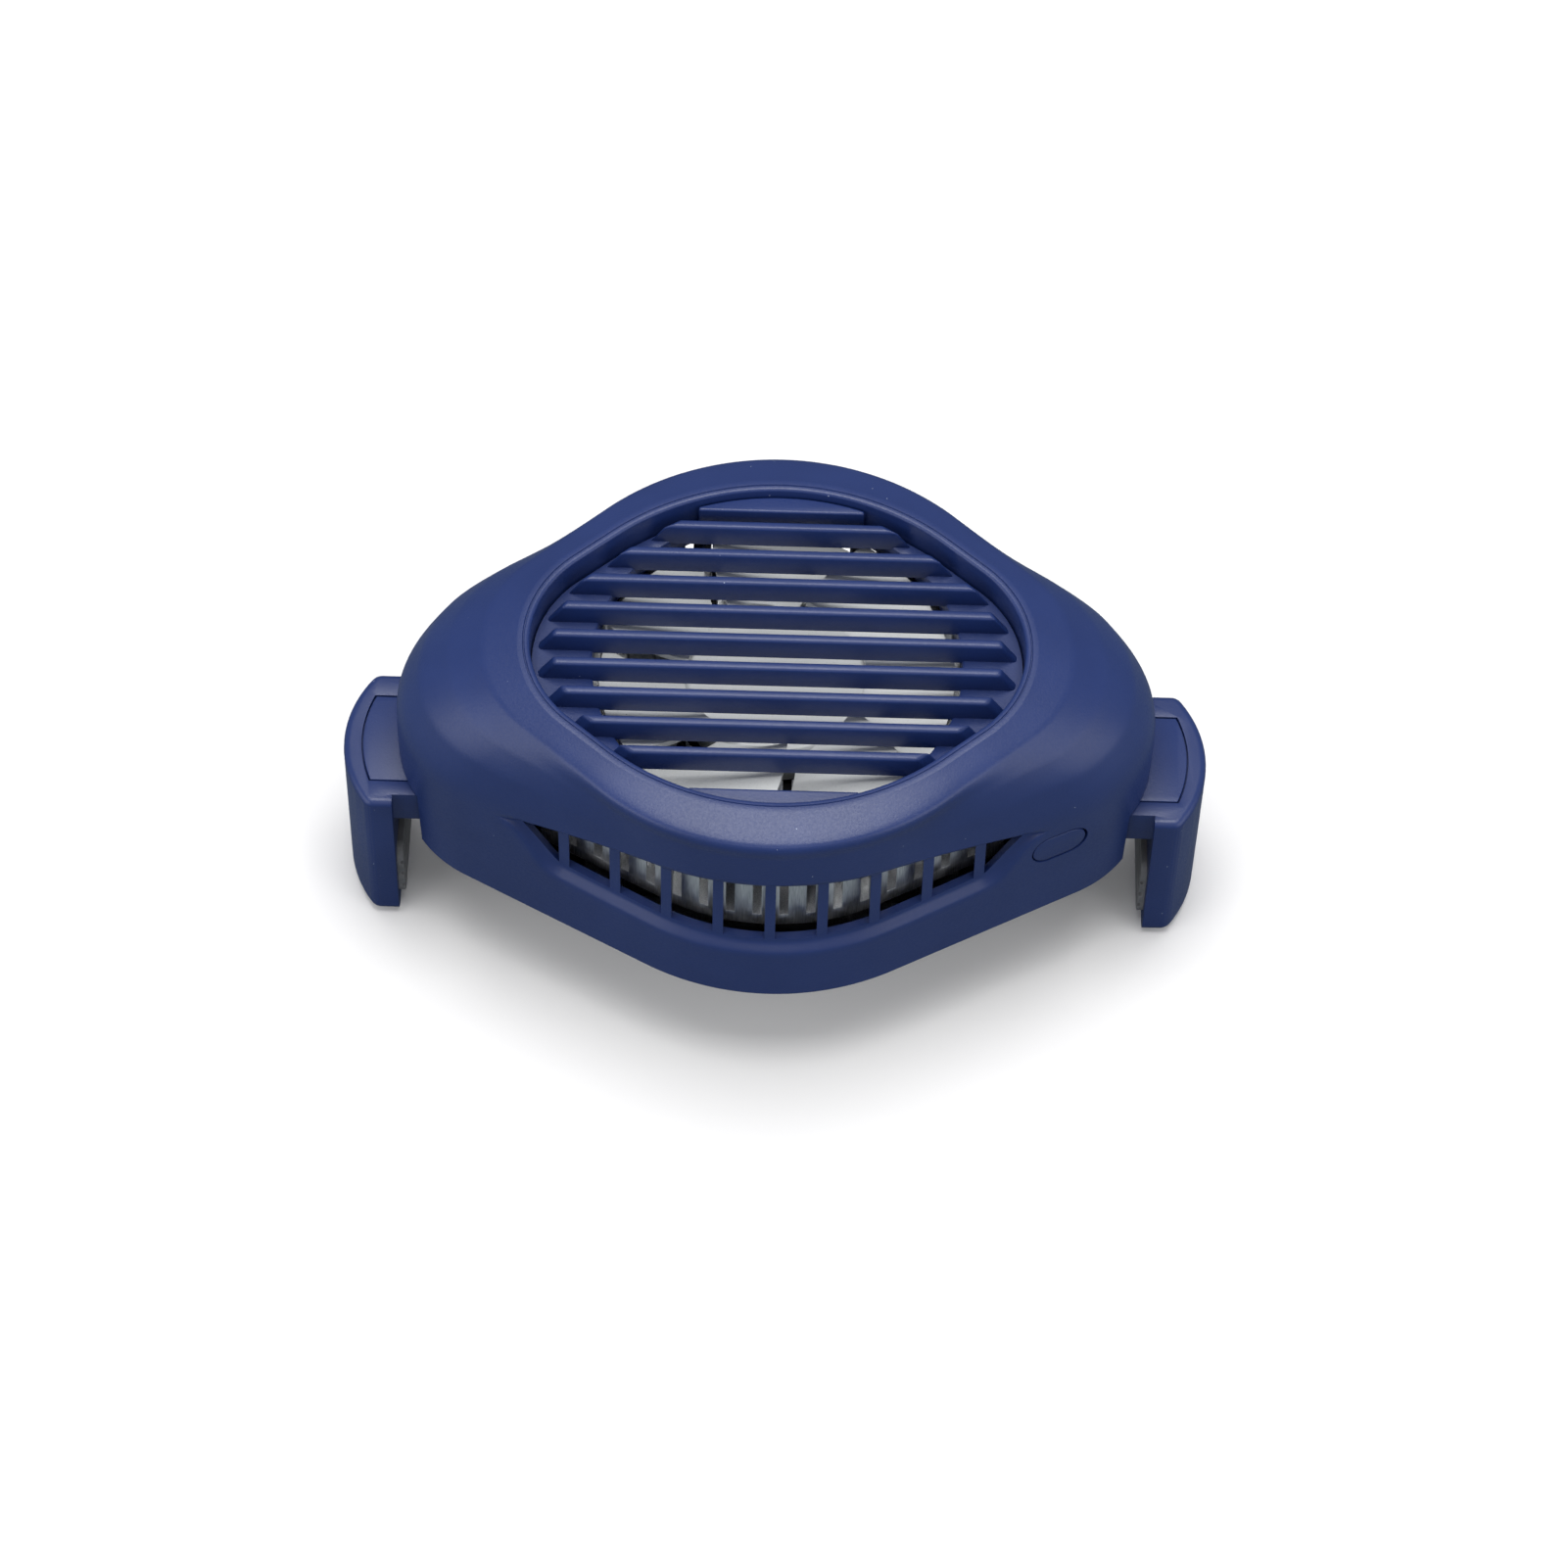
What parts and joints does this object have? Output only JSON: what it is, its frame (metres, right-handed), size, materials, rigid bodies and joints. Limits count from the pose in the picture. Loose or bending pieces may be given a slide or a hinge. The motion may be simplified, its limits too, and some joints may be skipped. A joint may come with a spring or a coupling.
{
  "type": "phone cooling fan",
  "caption": "Clip-on phone cooler: domed oval body with a barred fan grille, finned heat sink behind curved side vents and sliding clamp arms with soft jaws.",
  "frame": {"origin": "centre of the thermal pad's contact face, on the phone's back", "axes": "+X towards the right clamp arm, +Y towards the phone's top, +Z out of the phone's back towards the grille"},
  "size_m": [0.084, 0.0474, 0.0373],
  "materials": {
    "shell": "satin navy blue moulded plastic",
    "black_plastic": "fine matt moulded plastic",
    "bare_aluminium": "bright machined",
    "silicone_pad": "soft smooth silicone",
    "jaw_silicone": "matt grey silicone",
    "ceramic": "white alumina",
    "pellets": "dull grey metal",
    "foam": "closed-cell black foam",
    "lead_wire": "insulated wire",
    "rotor": "pale grey smooth plastic",
    "magnet": "bonded ferrite",
    "brass": "sintered bearing bronze",
    "copper": "enamelled copper winding",
    "steel": "plain steel",
    "screw_steel": "blackened steel",
    "board": "green solder mask"
  },
  "bodies": {
    "housing": {"top_shell": "shell", "grille_insert": "shell", "bottom_shell": "black_plastic", "cold_plate": "bare_aluminium", "thermal_pad": "silicone_pad", "module_cold_ceramic": "ceramic", "module_pellets": "pellets", "module_hot_ceramic": "ceramic", "module_leads": "lead_wire", "foam_gasket": "foam", "heat_sink": "bare_aluminium", "fan_base": "black_plastic", "fan_bearing": "brass", "fan_board": "board", "fan_leads": "lead_wire", "stator_core": "steel", "stator_coils": "copper", "control_board": "board", "board_parts": "black_plastic", "power_socket": "steel", "socket_tongue": "black_plastic", "switch_board": "board", "tact_switch": "black_plastic", "right_spring": "steel", "left_spring": "steel", "case_screws": "screw_steel", "heat_sink_screws": "screw_steel"},
    "fan": {"fan_rotor": "rotor", "rotor_magnet": "magnet", "fan_shaft": "steel"},
    "button": {"power_button": "shell", "switch_plunger": "black_plastic"},
    "right_clamp": {"right_arm": "shell", "right_arm_cap": "shell", "right_jaw_pad": "jaw_silicone"},
    "left_clamp": {"left_arm": "shell", "left_arm_cap": "shell", "left_jaw_pad": "jaw_silicone"}
  },
  "joints": [
    {"name": "fan_spin", "type": "hinge", "parent": "housing", "child": "fan", "pos_m": [0, 0, 0.0215], "axis": [0, 0, 1], "continuous": true},
    {"name": "right_clamp_slide", "type": "slide", "parent": "housing", "child": "right_clamp", "axis": [1, 0, 0], "range_m": [-0.0012, 0.0078], "stiffness_N_per_m": 600, "deforming": ["right_spring"]},
    {"name": "left_clamp_slide", "type": "slide", "parent": "housing", "child": "left_clamp", "axis": [-1, 0, 0], "range_m": [-0.0012, 0.0078], "stiffness_N_per_m": 600, "deforming": ["left_spring"]},
    {"name": "button_press", "type": "slide", "parent": "housing", "child": "button", "axis": [-0.4711, 0.8821, 0], "range_m": [0, 0.0003], "stiffness_N_per_m": 1500, "springref_m": -0.0002}
  ]
}
